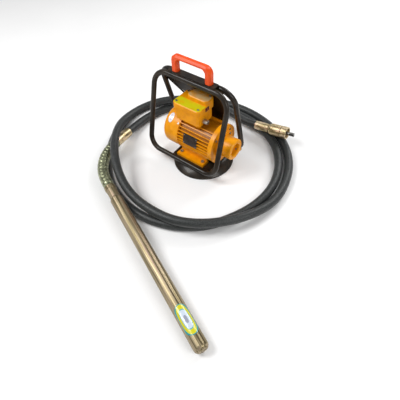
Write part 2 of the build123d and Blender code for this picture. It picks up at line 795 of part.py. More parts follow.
with BuildPart() as socket_screws:
    for seat in socket_seats:
        socket_screw(seat, socket_screw_radius, socket_screw_length, socket_screw_head_radius,
                     socket_screw_head_height)
socket_screws.part.label = "socket_screws"

with BuildPart() as latch_cap:
    ring(latch_side, latch_boss_reach - latch_cap_thickness, latch_boss_reach, latch_pocket_radius,
         latch_pin_radius + latch_pin_clearance)
latch_cap.part.label = "latch_cap"

with BuildPart() as latch_pin:
    ring(latch_side, latch_pin_nose, latch_knob_reach + latch_knob_height, latch_pin_radius)
    ring(latch_side, latch_collar_reach, latch_collar_reach + latch_collar_thickness, latch_collar_radius)
    ring(latch_side, latch_knob_reach, latch_knob_reach + latch_knob_height, latch_knob_radius)
    fillet(latch_pin.faces().sort_by(Axis(latch_side.origin, latch_side.x_dir))[-1].edges(), 1.5)
latch_pin.part.label = "latch_pin"

spring_foot = latch_collar_reach + latch_collar_thickness + latch_spring_wire + latch_spring_end_gap
spring_head = latch_boss_reach - latch_cap_thickness - latch_spring_wire - latch_spring_end_gap
spring_plane = Plane(latch_side.origin + latch_side.x_dir * spring_foot, z_dir=latch_side.x_dir)
with BuildPart() as latch_spring:
    with BuildLine() as coil:
        Helix((spring_head - spring_foot) / latch_spring_turns, spring_head - spring_foot,
              (latch_pin_radius + latch_pocket_radius) / 2, center=spring_plane.origin,
              direction=spring_plane.z_dir)
    tube_along(coil.line, latch_spring_wire)
latch_spring.part.label = "latch_spring"

# ---- Terminal box and lid ----
box_plane = Plane((box_middle_x, box_middle_y, box_foot_z))
boss_spots = GridLocations(box_length - 2 * lid_boss_inset, box_width - 2 * lid_boss_inset, 2, 2)
with BuildPart() as terminal_box:
    rounded_block(box_plane, box_length, box_width, box_corner, box_height)
    rounded_block(box_plane.offset(box_wall), box_length - 2 * box_wall, box_width - 2 * box_wall,
                  box_corner - box_wall, box_height, Mode.SUBTRACT)
    with BuildSketch(box_plane.offset(box_wall / 2)):
        with boss_spots:
            Circle(lid_boss_radius)
    extrude(amount=box_height - box_wall / 2)
    with BuildSketch(box_plane.offset(box_height / 2)):
        with boss_spots:
            Circle(lid_screw_radius)
    extrude(amount=box_height, mode=Mode.SUBTRACT)
    ring(gland_side, -2 * box_wall, box_wall, gland_thread_radius, mode=Mode.SUBTRACT)
terminal_box.part.label = "terminal_box"

with BuildPart() as box_gasket:
    with BuildSketch(box_plane.offset(box_height)):
        RectangleRounded(box_length, box_width, box_corner)
        RectangleRounded(box_length - 2 * box_wall, box_width - 2 * box_wall, box_corner - box_wall,
                         mode=Mode.SUBTRACT)
        with boss_spots:
            Circle(lid_screw_radius, mode=Mode.SUBTRACT)
    extrude(amount=gasket_thickness)
box_gasket.part.label = "box_gasket"

lid_plane = Plane((box_middle_x, box_middle_y, lid_foot_z))
raised_length = lid_front_x - raised_rear_x
raised_width = lid_far_y - raised_near_y
raised_plane = Plane((lid_front_x - raised_length / 2, lid_far_y - raised_width / 2, lid_top_z))
switch_plane = Plane((lid_front_x, switch_y, switch_z), x_dir=(0, 1, 0), z_dir=(1, 0, 0))
with BuildPart() as terminal_lid:
    rounded_block(lid_plane, box_length + 2 * lid_overhang, box_width + 2 * lid_overhang, lid_corner,
                  lid_height)
    chamfer(terminal_lid.faces().sort_by(Axis.Z)[-1].edges(), lid_chamfer)
    rounded_block(raised_plane.offset(-lid_height), raised_length, raised_width, lid_corner,
                  lid_height + raised_height)
    chamfer(terminal_lid.faces().sort_by(Axis.Z)[-1].edges(), lid_chamfer)
    rounded_block(lid_plane, box_length - 2 * box_wall, box_width - 2 * box_wall, box_corner - box_wall,
                  lid_height - lid_wall, Mode.SUBTRACT)
    rounded_block(raised_plane.offset(-lid_height), raised_length - 2 * (lid_overhang + box_wall),
                  raised_width - 2 * (lid_overhang + box_wall), box_corner - box_wall,
                  lid_height + raised_height - lid_wall, Mode.SUBTRACT)
    with BuildSketch(lid_plane):
        with boss_spots:
            Circle(lid_boss_radius)
    extrude(amount=lid_height - lid_wall / 2)
    with BuildSketch(lid_plane):
        with boss_spots:
            Circle(lid_screw_radius)
    extrude(amount=lid_height + raised_height, mode=Mode.SUBTRACT)
    with BuildSketch(switch_plane):
        Rectangle(switch_width, switch_height)
    extrude(amount=-2 * switch_depth, mode=Mode.SUBTRACT)
terminal_lid.part.label = "terminal_lid"

with BuildPart() as lid_screws:
    for spot in boss_spots:
        over_raised = spot.position.X > 0 and spot.position.Y > 0
        seat_z = raised_top_z if over_raised else lid_top_z
        seat = Plane((box_middle_x + spot.position.X, box_middle_y + spot.position.Y, seat_z))
        socket_screw(seat, lid_screw_radius, seat_z - box_foot_z - box_height / 2, lid_screw_head_radius,
                     lid_screw_head_height)
lid_screws.part.label = "lid_screws"

with BuildPart() as switch_body:
    with BuildSketch(switch_plane):
        Rectangle(switch_bezel_width, switch_bezel_height)
    extrude(amount=switch_bezel_thickness)
    with BuildSketch(switch_plane):
        Rectangle(switch_width, switch_height)
    extrude(amount=-switch_depth)
    with BuildSketch(switch_plane.offset(switch_bezel_thickness)):
        Rectangle(2 * (rocker_swing_radius + rocker_clearance), rocker_height + 2 * rocker_clearance)
    extrude(amount=-rocker_pivot_depth - rocker_swing_radius, mode=Mode.SUBTRACT)
    ring(rocker_side, -switch_height / 2, switch_height / 2, rocker_axle_radius + rocker_axle_clearance,
         mode=Mode.SUBTRACT)
switch_body.part.label = "switch_body"

with BuildPart() as switch_rocker:
    with BuildSketch(Plane((rocker_pivot_x, switch_y, switch_z), x_dir=(1, 0, 0), z_dir=(0, 0, 1))):
        with BuildLine():
            Polyline((-2, -7), (5.5, -5), (4.2, 0), (5.5, 5), (-2, 7), close=True)
        make_face()
    extrude(amount=rocker_height / 2, both=True)
    ring(rocker_side, -switch_height / 2 + 0.2, switch_height / 2 - 0.2, rocker_axle_radius)
switch_rocker.part.label = "switch_rocker"

with BuildPart() as cable_gland:
    ring(gland_side, -box_wall, 0, gland_thread_radius)
    with BuildSketch(Plane(gland_side.origin, x_dir=(0, 1, 0), z_dir=(1, 0, 0))):
        RegularPolygon(gland_body_radius, 6)
    extrude(amount=gland_body_length * 0.4)
    ring(gland_side, gland_body_length * 0.4, gland_body_length, gland_body_radius * 0.86)
    fillet(cable_gland.faces().sort_by(Axis.X)[-1].edges(), 3)
    ring(gland_side, gland_body_length * 0.8, gland_body_length, gland_plug_radius, mode=Mode.SUBTRACT)
cable_gland.part.label = "cable_gland"

with BuildPart() as capacitor:
    capacitor_z = box_foot_z + box_wall + capacitor_radius
    capacitor_y = box_far_y - box_wall - capacitor_radius - 2
    ring(along((box_middle_x, capacitor_y, capacitor_z), (1, 0, 0)), -capacitor_length / 2,
         capacitor_length / 2, capacitor_radius)
    fillet(capacitor.edges().filter_by(GeomType.CIRCLE), 2)
capacitor.part.label = "capacitor"

with BuildPart() as terminal_block:
    block_y = box_near_y + box_wall + terminal_block_width / 2 + 1
    with BuildSketch(Plane((box_middle_x, block_y, box_foot_z + box_wall))):
        Rectangle(terminal_block_length, terminal_block_width)
    extrude(amount=terminal_block_height)
    with BuildSketch(Plane((box_middle_x, block_y, box_foot_z + box_wall + terminal_block_height))):
        with GridLocations(terminal_block_length / 6, terminal_block_width / 2, 5, 2):
            Circle(2.5)
    extrude(amount=-terminal_block_height / 3, mode=Mode.SUBTRACT)
terminal_block.part.label = "terminal_block"

# ---- Nameplate, badge and sticker ----
with BuildPart() as nameplate:
    ring(motor_side, housing_rear_x, housing_front_x, fin_corner_radius + nameplate_thickness,
         fin_corner_radius)
    with BuildSketch(facing(motor_side, nameplate_x, 0, nameplate_angle - 90)):
        Rectangle(nameplate_length, nameplate_width)
    extrude(amount=2 * fin_tip_radius, mode=Mode.INTERSECT)
nameplate.part.label = "nameplate"

with BuildPart() as cover_badge:
    ring(motor_side, cover_rear_x, housing_rear_x, cover_radius + badge_thickness, cover_radius)
    with BuildSketch(facing(motor_side, badge_x, 0, badge_angle - 90)):
        Ellipse(badge_length / 2, badge_width / 2)
    extrude(amount=2 * cover_radius, mode=Mode.INTERSECT)
cover_badge.part.label = "cover_badge"

with BuildPart() as poker_sticker:
    ring(poker_side, neck_length, tip_start, poker_radius + sticker_thickness, poker_radius)
    with BuildSketch(facing(poker_side, sticker_middle, 0)):
        SlotOverall(sticker_length, sticker_width)
    extrude(amount=2 * poker_radius, mode=Mode.INTERSECT)
poker_sticker.part.label = "poker_sticker"

# ---- Hose, flexible core and spring guard ----
hose_path = route_line(hose_route)
guard_path = route_line(guard_route)
core_path = route_line(guard_route[:-1] + hose_route[1:])

with BuildPart() as shaft_hose:
    tube_along(hose_path, hose_radius, hose_bore)
shaft_hose.part.label = "shaft_hose"

with BuildPart() as flexible_core:
    tube_along(core_path, core_radius)
flexible_core.part.label = "flexible_core"

with BuildPart() as spring_guard:
    tube_along(guard_path, guard_radius, guard_bore)
spring_guard.part.label = "spring_guard"

ferrule_run = Vector(*hose_route[0]) - Vector(*guard_route[-1])
ferrule_side = along(guard_route[-1], ferrule_run)
with BuildPart() as hose_ferrule:
    ring(ferrule_side, 0, ferrule_run.length, ferrule_radius, ferrule_bore)
    chamfer(hose_ferrule.edges().filter_by(GeomType.CIRCLE).sort_by(SortBy.RADIUS)[-2:], 1.5)
hose_ferrule.part.label = "hose_ferrule"

# ---- Poker ----
tube_bore = poker_radius - poker_wall
with BuildPart() as poker_neck:
    turn(poker_side, [(0, guard_bore), (0, neck_collar_radius), (neck_collar_length, neck_collar_radius),
                      (neck_collar_length + 3, neck_collar_radius - 2), (neck_length - 8, neck_collar_radius - 2),
                      (neck_length, poker_radius), (neck_length, guard_bore)])
poker_neck.part.label = "poker_neck"

with BuildPart() as poker_tube:
    ring(poker_side, neck_length, tip_start, poker_radius, tube_bore)
poker_tube.part.label = "poker_tube"

with BuildPart() as poker_tip:
    ring(poker_side, tip_start, tip_start + tip_length, poker_radius)
    tip_edge = poker_tip.edges().filter_by(GeomType.CIRCLE).sort_by(Axis(poker_side.origin, poker_side.x_dir))
    fillet(tip_edge[-1], poker_radius - tip_flat_radius)
    ring(poker_side, tip_start - spigot_length, tip_start, tube_bore)
poker_tip.part.label = "poker_tip"

with BuildPart() as poker_bearings:
    for start in (poker_bearing_first, poker_bearing_last):
        ball_bearing(poker_side, start, poker_bearing_width, tube_bore,
                     poker_shaft_radius + poker_shaft_clearance)
poker_bearings.part.label = "poker_bearings"

with BuildPart() as poker_seal:
    ring(poker_side, seal_start, seal_start + seal_width, tube_bore, poker_shaft_radius + poker_shaft_clearance)
poker_seal.part.label = "poker_seal"

weight_start = poker_bearing_first + poker_bearing_width + rotor_weight_gap
weight_stop = poker_bearing_last - rotor_weight_gap
weight_origin = poker_side.origin - poker_side.y_dir * rotor_weight_offset
with BuildPart() as poker_rotor:
    ring(poker_side, neck_length, poker_bearing_last + poker_bearing_width, poker_shaft_radius)
    ring(along(weight_origin, poker_direction), weight_start, weight_stop, rotor_weight_radius)
poker_rotor.part.label = "poker_rotor"

# ---- Coupling ----
with BuildPart() as coupling_sleeve:
    turn(coupling_side, [(0, core_radius + 2), (0, sleeve_radius), (sleeve_length, sleeve_radius),
                         (sleeve_length, spigot_radius), (cup_start + cup_web, spigot_radius),
                         (cup_start + cup_web, drive_tip_radius + drive_tip_clearance),
                         (drive_tip_start - 5, drive_tip_radius + drive_tip_clearance),
                         (drive_tip_start - 5, core_radius + 2)])
coupling_sleeve.part.label = "coupling_sleeve"

with BuildPart() as coupling_cup:
    turn(coupling_side, [(cup_start, spigot_radius), (cup_start, cup_radius - 1), (cup_start + 1, cup_radius),
                         (cup_start + cup_length - 1, cup_radius), (cup_start + cup_length, cup_radius - 1),
                         (cup_start + cup_length, cup_bore), (cup_start + cup_web, cup_bore),
                         (cup_start + cup_web, spigot_radius)])
coupling_cup.part.label = "coupling_cup"

with BuildPart() as coupling_collar:
    turn(coupling_side, [(collar_start, spigot_radius + collar_clearance), (collar_start, collar_lead_radius),
                         (collar_start + collar_lead, collar_radius),
                         (collar_start + collar_length, collar_radius),
                         (collar_start + collar_length, spigot_radius + collar_clearance)])
    for index in range(collar_groove_count):
        groove = facing(coupling_side, 0, collar_radius, 360 * index / collar_groove_count)
        ring(along(groove.origin, coupling_direction), collar_start + collar_lead,
             collar_start + collar_length, collar_groove_radius, mode=Mode.SUBTRACT)
coupling_collar.part.label = "coupling_collar"

with BuildPart() as drive_tip:
    ring(coupling_side, drive_tip_start, drive_tip_end, drive_tip_radius)
    for side in (-1, 1):
        with BuildSketch(facing(coupling_side, drive_tip_end - drive_tip_flat_length / 2,
                                drive_tip_flat / 2, 90 * side)):
            Rectangle(drive_tip_flat_length, 2 * drive_tip_radius)
        extrude(amount=drive_tip_radius, mode=Mode.SUBTRACT)
drive_tip.part.label = "drive_tip"

# ---- Export ----
pieces = [
    base_dish, thrust_ring, pivot_washer, pivot_bolt, swivel_plate, front_hoop, rear_hoop, top_bar,
    back_panel, brace_rod, handle, handle_screws, stator_housing, stator_core, stator_windings, foot_bolts,
    foot_nuts, front_end_shield, rear_end_shield, end_shield_screws, front_bearing, rear_bearing,
    rotor_shaft, rotor_core, shaft_key, output_dog, cooling_fan, fan_cover, fan_cover_screws,
    output_socket, socket_screws, latch_cap, latch_pin, latch_spring, terminal_box, box_gasket,
    terminal_lid, lid_screws, switch_body, switch_rocker, cable_gland, capacitor, terminal_block,
    nameplate, cover_badge, poker_sticker, shaft_hose, flexible_core, spring_guard, hose_ferrule,
    poker_neck, poker_tube, poker_tip, poker_bearings, poker_seal, poker_rotor, coupling_sleeve,
    coupling_cup, coupling_collar, drive_tip,
]
for piece in pieces:
    export_step(piece.part, f"parts/{piece.part.label}.step")
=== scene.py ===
"""Looks of the concrete vibrator: an orange motor in a black tube cage, a long dark hose and a plated
steel poker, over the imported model.  Metres, +Z up, +X along the motor shaft."""
from math import cos, pi, radians, sin

import bpy
from mathutils import Matrix, Vector


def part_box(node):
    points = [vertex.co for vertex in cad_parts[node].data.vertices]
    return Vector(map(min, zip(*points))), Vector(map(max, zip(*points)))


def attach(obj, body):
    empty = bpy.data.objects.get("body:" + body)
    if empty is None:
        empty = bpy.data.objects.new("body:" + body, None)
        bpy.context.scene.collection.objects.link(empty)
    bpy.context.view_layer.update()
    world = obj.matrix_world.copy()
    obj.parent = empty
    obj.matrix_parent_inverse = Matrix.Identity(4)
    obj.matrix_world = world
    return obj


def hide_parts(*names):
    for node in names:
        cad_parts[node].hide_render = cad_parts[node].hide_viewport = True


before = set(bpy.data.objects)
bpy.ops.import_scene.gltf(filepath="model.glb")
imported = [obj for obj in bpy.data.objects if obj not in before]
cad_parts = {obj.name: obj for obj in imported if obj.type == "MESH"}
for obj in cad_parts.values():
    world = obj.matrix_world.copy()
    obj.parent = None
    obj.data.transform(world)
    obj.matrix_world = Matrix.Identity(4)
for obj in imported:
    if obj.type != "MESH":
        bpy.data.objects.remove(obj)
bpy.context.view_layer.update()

# ---- Camera, light and floor ----
# A small studio: a pale seamless floor, a bright even surround, and three soft lamps that draw long
# highlights along the tubes, the hose and the poker.
camera_data = bpy.data.cameras.new("camera")
camera_data.sensor_width = 36
camera_data.lens = 31.5
camera_data.clip_end = 20
camera = bpy.data.objects.new("camera", camera_data)
bpy.context.collection.objects.link(camera)
camera.location = (0.7074, -0.8877, 1.1062)
turn = Matrix.Rotation(radians(39.847), 4, "Z") @ Matrix.Rotation(radians(38.914), 4, "X")
camera.rotation_euler = (turn @ Matrix.Rotation(radians(-2.788), 4, "Z")).to_euler()
bpy.context.scene.camera = camera
bpy.context.scene.view_settings.view_transform = "Standard"

for name, place, size, watts in (("key", (-1.3, -1.5, 2.5), 1.3, 62), ("fill", (2.2, -0.4, 1.6), 1.0, 20),
                                 ("back", (0.3, 2.2, 2.0), 1.2, 34)):
    lamp_data = bpy.data.lights.new(name + "_lamp", "AREA")
    lamp_data.energy = watts
    lamp_data.size = size
    lamp = bpy.data.objects.new(name + "_lamp", lamp_data)
    bpy.context.collection.objects.link(lamp)
    lamp.location = place
    lamp.rotation_euler = (Vector((0, 0, 0.1)) - Vector(place)).to_track_quat("-Z", "Y").to_euler()

world = bpy.data.worlds.new("studio_surround")
world.use_nodes = True
world.node_tree.nodes["Background"].inputs["Color"].default_value = (1.0, 1.0, 1.0, 1)
ray_kind = world.node_tree.nodes.new("ShaderNodeLightPath")
surround_strength = world.node_tree.nodes.new("ShaderNodeMapRange")
surround_strength.inputs["To Min"].default_value = 0.42
surround_strength.inputs["To Max"].default_value = 1.0
world.node_tree.links.new(ray_kind.outputs["Is Camera Ray"], surround_strength.inputs["Value"])
world.node_tree.links.new(surround_strength.outputs["Result"],
                          world.node_tree.nodes["Background"].inputs["Strength"])
bpy.context.scene.world = world


def start_material(name, **settings):
    """New material: its node tree, its Principled shader with the given settings, and Object coordinates."""
    material = bpy.data.materials.new(name)
    material.use_nodes = True
    tree = material.node_tree
    shader = tree.nodes["Principled BSDF"]
    for socket, value in settings.items():
        shader.inputs[socket.replace("_", " ")].default_value = value
    places = tree.nodes.new("ShaderNodeTexCoord")
    return material, tree, shader, places.outputs["Object"]


def build_grain_group():
    """Shared effect: broad mottling between two colours, with fine grain in roughness and height."""
    group = bpy.data.node_groups.new("mottle_and_grain", "ShaderNodeTree")
    sockets = group.interface
    sockets.new_socket("Vector", in_out="INPUT", socket_type="NodeSocketVector")
    for label in ("Main Color", "Patch Color"):
        sockets.new_socket(label, in_out="INPUT", socket_type="NodeSocketColor")
    for label in ("Patch Scale", "Patch Amount", "Grain Scale", "Smooth", "Rough"):
        sockets.new_socket(label, in_out="INPUT", socket_type="NodeSocketFloat")
    sockets.new_socket("Color", in_out="OUTPUT", socket_type="NodeSocketColor")
    sockets.new_socket("Roughness", in_out="OUTPUT", socket_type="NodeSocketFloat")
    sockets.new_socket("Height", in_out="OUTPUT", socket_type="NodeSocketFloat")
    nodes, links = group.nodes, group.links
    given = nodes.new("NodeGroupInput")
    result = nodes.new("NodeGroupOutput")
    patches = nodes.new("ShaderNodeTexNoise")
    patches.inputs["Detail"].default_value = 4
    grain = nodes.new("ShaderNodeTexNoise")
    grain.inputs["Detail"].default_value = 3
    for noise, scale in ((patches, "Patch Scale"), (grain, "Grain Scale")):
        links.new(given.outputs["Vector"], noise.inputs["Vector"])
        links.new(given.outputs[scale], noise.inputs["Scale"])
    amount = nodes.new("ShaderNodeMath")
    amount.operation = "MULTIPLY"
    spread = nodes.new("ShaderNodeMapRange")
    spread.inputs["From Min"].default_value = 0.38
    spread.inputs["From Max"].default_value = 0.66
    links.new(patches.outputs["Fac"], spread.inputs["Value"])
    links.new(spread.outputs["Result"], amount.inputs[0])
    links.new(given.outputs["Patch Amount"], amount.inputs[1])
    colours = nodes.new("ShaderNodeMix")
    colours.data_type = "RGBA"
    links.new(amount.outputs[0], colours.inputs[0])
    links.new(given.outputs["Main Color"], colours.inputs[6])
    links.new(given.outputs["Patch Color"], colours.inputs[7])
    links.new(colours.outputs[2], result.inputs["Color"])
    shine = nodes.new("ShaderNodeMapRange")
    shine.inputs["From Min"].default_value = 0.3
    shine.inputs["From Max"].default_value = 0.7
    links.new(grain.outputs["Fac"], shine.inputs["Value"])
    links.new(given.outputs["Smooth"], shine.inputs["To Min"])
    links.new(given.outputs["Rough"], shine.inputs["To Max"])
    links.new(shine.outputs["Result"], result.inputs["Roughness"])
    links.new(grain.outputs["Fac"], result.inputs["Height"])
    return group


grain_group = build_grain_group()


def add_grain(tree, shader, places, main, patch, patch_scale, patch_amount, grain_scale, smooth, rough,
              relief):
    """Places the shared mottle-and-grain effect in a material and feeds its shader; relief in metres."""
    effect = tree.nodes.new("ShaderNodeGroup")
    effect.node_tree = grain_group
    values = {"Main Color": (*main, 1), "Patch Color": (*patch, 1), "Patch Scale": patch_scale,
              "Patch Amount": patch_amount, "Grain Scale": grain_scale, "Smooth": smooth, "Rough": rough}
    for socket, value in values.items():
        effect.inputs[socket].default_value = value
    tree.links.new(places, effect.inputs["Vector"])
    tree.links.new(effect.outputs["Color"], shader.inputs["Base Color"])
    tree.links.new(effect.outputs["Roughness"], shader.inputs["Roughness"])
    bump = tree.nodes.new("ShaderNodeBump")
    bump.inputs["Distance"].default_value = relief
    bump.inputs["Strength"].default_value = 0.6
    tree.links.new(effect.outputs["Height"], bump.inputs["Height"])
    tree.links.new(bump.outputs["Normal"], shader.inputs["Normal"])
    return effect


def finish_nodes(material, *names):
    """Gives CAD nodes a material in place of their plain one."""
    for name in names:
        for material_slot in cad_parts[name].material_slots:
            material_slot.material = material


bpy.ops.object.select_all(action="DESELECT")
bpy.ops.mesh.primitive_plane_add(size=9, location=(0, 0, -0.0005))
floor = bpy.context.object
floor.name = "studio_floor"
floor_material, tree, shader, places = start_material("pale_floor", Specular_IOR_Level=0.1)
add_grain(tree, shader, places, (0.93, 0.93, 0.93), (0.96, 0.96, 0.96), 3, 0.5, 60, 0.75, 0.9, 0.0002)
floor.data.materials.append(floor_material)

# ---- Shaft hose ----
# A 36 mm rubber hose that covers the flexible shaft, laid by hand in two and a half loose turns:
# once round on the floor, then on top of its first turn.  Its skin is marked by the wrapping cloth.
hose_diameter = 0.036
hose_route = [
    (-0.368, -0.098, 0.037), (-0.3839, -0.0303, 0.026), (-0.390, 0.042, 0.018), (-0.374, 0.130, 0.018),
    (-0.322, 0.215, 0.018), (-0.245, 0.283, 0.018), (-0.152, 0.322, 0.018), (-0.048, 0.334, 0.018),
    (0.056, 0.324, 0.018), (0.150, 0.290, 0.018), (0.230, 0.236, 0.018), (0.290, 0.162, 0.018),
    (0.328, 0.078, 0.018), (0.345, -0.012, 0.018), (0.335, -0.112, 0.018), (0.300, -0.206, 0.018),
    (0.245, -0.296, 0.018), (0.160, -0.365, 0.018), (0.060, -0.405, 0.018), (-0.050, -0.412, 0.018),
    (-0.148, -0.390, 0.018), (-0.230, -0.354, 0.018), (-0.306, -0.294, 0.018), (-0.378, -0.212, 0.018),
    (-0.430, -0.125, 0.018), (-0.466, -0.035, 0.018), (-0.472, 0.065, 0.018), (-0.440, 0.160, 0.018),
    (-0.376, 0.246, 0.018), (-0.285, 0.318, 0.018), (-0.175, 0.360, 0.018), (-0.062, 0.380, 0.018),
    (0.054, 0.372, 0.018), (0.162, 0.335, 0.018), (0.258, 0.270, 0.018), (0.332, 0.180, 0.018),
    (0.374, 0.072, 0.018), (0.388, -0.040, 0.020), (0.366, -0.146, 0.038), (0.316, -0.240, 0.050),
    (0.242, -0.322, 0.057), (0.148, -0.375, 0.059), (0.042, -0.388, 0.058), (-0.060, -0.380, 0.058),
    (-0.150, -0.350, 0.070), (-0.232, -0.300, 0.088), (-0.300, -0.238, 0.099), (-0.352, -0.174, 0.098),
    (-0.398, -0.105, 0.082), (-0.422, -0.020, 0.066), (-0.415, 0.075, 0.060), (-0.372, 0.165, 0.060),
    (-0.290, 0.232, 0.062), (-0.190, 0.272, 0.062), (-0.088, 0.288, 0.056), (0.008, 0.280, 0.045),
    (0.057, 0.278, 0.043), (0.097, 0.279, 0.049),
]


def lay_line(name, route, thickness=0.0):
    """Smooth line through the air along a route of control points; with a thickness it is a round hose."""
    curve = bpy.data.curves.new(name, "CURVE")
    curve.dimensions = "3D"
    curve.resolution_u = 10
    curve.bevel_depth = thickness / 2
    curve.bevel_resolution = 8
    curve.use_fill_caps = thickness > 0
    spline = curve.splines.new("NURBS")
    spline.points.add(len(route) - 1)
    for point, place in zip(spline.points, route):
        point.co = (*place, 1)
    spline.order_u = 3
    spline.use_endpoint_u = True
    line = bpy.data.objects.new(name, curve)
    bpy.context.collection.objects.link(line)
    return line


hose = lay_line("rubber_hose", hose_route, hose_diameter)
hose_material, tree, shader, places = start_material("hose_rubber", Specular_IOR_Level=0.4)
add_grain(tree, shader, places, (0.013, 0.015, 0.015), (0.055, 0.059, 0.058), 300, 0.85, 900, 0.30, 0.50,
          0.0008)
hose.data.materials.append(hose_material)
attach(hose, "root")
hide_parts("shaft_hose")

# ---- Spring guard ----
# A tube wound from flat steel strip keeps the hose from kinking where it meets the poker.  The strip's
# edges leave a groove that winds along it, and its steel is mottled at random towards a pale tint that is
# painted highlight.
guard_route = [
    (-0.163, -0.402, 0.061), (-0.2118, -0.3829, 0.0637), (-0.258, -0.354, 0.061), (-0.297, -0.314, 0.0605),
    (-0.324, -0.266, 0.059), (-0.342, -0.209, 0.055), (-0.3446, -0.1979, 0.0532),
]
guard_radius = 0.0222
strip_pitch = 0.0185
strip_crown = 0.0005
groove_depth = 0.0026
groove_half_share = 0.11
row_gap = 0.0012


def read_line(line):
    """Points along a line, read from its smooth curve, then the line itself is taken away."""
    mesh = bpy.data.meshes.new_from_object(line)
    points = [vertex.co.copy() for vertex in mesh.vertices]
    bpy.data.objects.remove(line)
    return points


def spread_points(points, gap):
    """The same line with points a small even gap apart."""
    spread = [points[0]]
    for start, stop in zip(points, points[1:]):
        steps = max(1, round((stop - start).length / gap))
        spread += [start.lerp(stop, step / steps) for step in range(1, steps + 1)]
    return spread


guard_points = spread_points(read_line(lay_line("guard_line", guard_route)), row_gap)
side_count = 48
vertices, faces = [], []
travelled = 0.0
sideways = Vector((0, 0, 1))
for index, point in enumerate(guard_points):
    before = guard_points[max(index - 1, 0)]
    after = guard_points[min(index + 1, len(guard_points) - 1)]
    ahead = (after - before).normalized()
    travelled += (point - before).length
    sideways = (sideways - ahead * sideways.dot(ahead)).normalized()
    across = ahead.cross(sideways)
    for side in range(side_count):
        angle = 2 * pi * side / side_count
        turn_share = (travelled / strip_pitch + side / side_count) % 1
        in_groove = max(0.0, 1 - abs(turn_share - 0.5) / groove_half_share)
        crown = strip_crown * cos(2 * pi * turn_share)
        radius = guard_radius + crown - groove_depth * in_groove
        vertices.append(point + (sideways * cos(angle) + across * sin(angle)) * radius)
for row in range(len(guard_points) - 1):
    for side in range(side_count):
        beside = (side + 1) % side_count
        faces.append((row * side_count + side, row * side_count + beside,
                      (row + 1) * side_count + beside, (row + 1) * side_count + side))
faces.append(tuple(range(side_count - 1, -1, -1)))
last_row = (len(guard_points) - 1) * side_count
faces.append(tuple(last_row + side for side in range(side_count)))
guard_mesh = bpy.data.meshes.new("strip_wound_guard")
guard_mesh.from_pydata(vertices, [], faces)
guard = bpy.data.objects.new("strip_wound_guard", guard_mesh)
bpy.context.collection.objects.link(guard)
for polygon in guard_mesh.polygons:
    polygon.use_smooth = len(polygon.vertices) == 4
guard_material, tree, shader, places = start_material("strip_steel", Metallic=0.75)
# Random mottle from dark olive steel to a pale tint; the pale tint is painted highlight.
add_grain(tree, shader, places, (0.13, 0.14, 0.085), (0.44, 0.46, 0.29), 70, 0.8, 500, 0.22, 0.42, 0.0003)
guard_mesh.materials.append(guard_material)
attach(guard, "root")
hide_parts("spring_guard")

# ---- Poker ----
# A thick steel tube with a screwed-in neck and a welded bullet nose, ground lengthwise and zinc plated,
# so that its sheen shifts between cream, olive and rose along fine streaks.
poker_start = Vector((-0.163, -0.402, 0.061))
poker_ahead = (Vector((0.477, -0.653, 0.026)) - poker_start).normalized()


def build_plating_group():
    """Shared effect: streaks drawn out along one direction, which tint the plating from cream to rose."""
    group = bpy.data.node_groups.new("plating_streaks", "ShaderNodeTree")
    sockets = group.interface
    sockets.new_socket("Vector", in_out="INPUT", socket_type="NodeSocketVector")
    for label in ("Streak Scale", "Brightness"):
        sockets.new_socket(label, in_out="INPUT", socket_type="NodeSocketFloat")
    sockets.new_socket("Color", in_out="OUTPUT", socket_type="NodeSocketColor")
    sockets.new_socket("Roughness", in_out="OUTPUT", socket_type="NodeSocketFloat")
    sockets.new_socket("Height", in_out="OUTPUT", socket_type="NodeSocketFloat")
    nodes, links = group.nodes, group.links
    given = nodes.new("NodeGroupInput")
    result = nodes.new("NodeGroupOutput")
    streaks = nodes.new("ShaderNodeTexNoise")
    streaks.inputs["Detail"].default_value = 5
    links.new(given.outputs["Vector"], streaks.inputs["Vector"])
    links.new(given.outputs["Streak Scale"], streaks.inputs["Scale"])
    tints = nodes.new("ShaderNodeValToRGB")
    tints.color_ramp.elements[0].position = 0.3
    tints.color_ramp.elements[0].color = (0.15, 0.11, 0.065, 1)
    tints.color_ramp.elements[1].position = 0.72
    tints.color_ramp.elements[1].color = (0.62, 0.38, 0.32, 1)
    olive = tints.color_ramp.elements.new(0.45)
    olive.color = (0.38, 0.31, 0.16, 1)
    cream = tints.color_ramp.elements.new(0.58)
    cream.color = (0.76, 0.62, 0.41, 1)
    links.new(streaks.outputs["Fac"], tints.inputs["Fac"])
    dulled = nodes.new("ShaderNodeVectorMath")
    dulled.operation = "SCALE"
    links.new(tints.outputs["Color"], dulled.inputs[0])
    links.new(given.outputs["Brightness"], dulled.inputs["Scale"])
    links.new(dulled.outputs["Vector"], result.inputs["Color"])
    shine = nodes.new("ShaderNodeMapRange")
    shine.inputs["To Min"].default_value = 0.3
    shine.inputs["To Max"].default_value = 0.56
    links.new(streaks.outputs["Fac"], shine.inputs["Value"])
    links.new(shine.outputs["Result"], result.inputs["Roughness"])
    links.new(streaks.outputs["Fac"], result.inputs["Height"])
    return group


plating_group = build_plating_group()


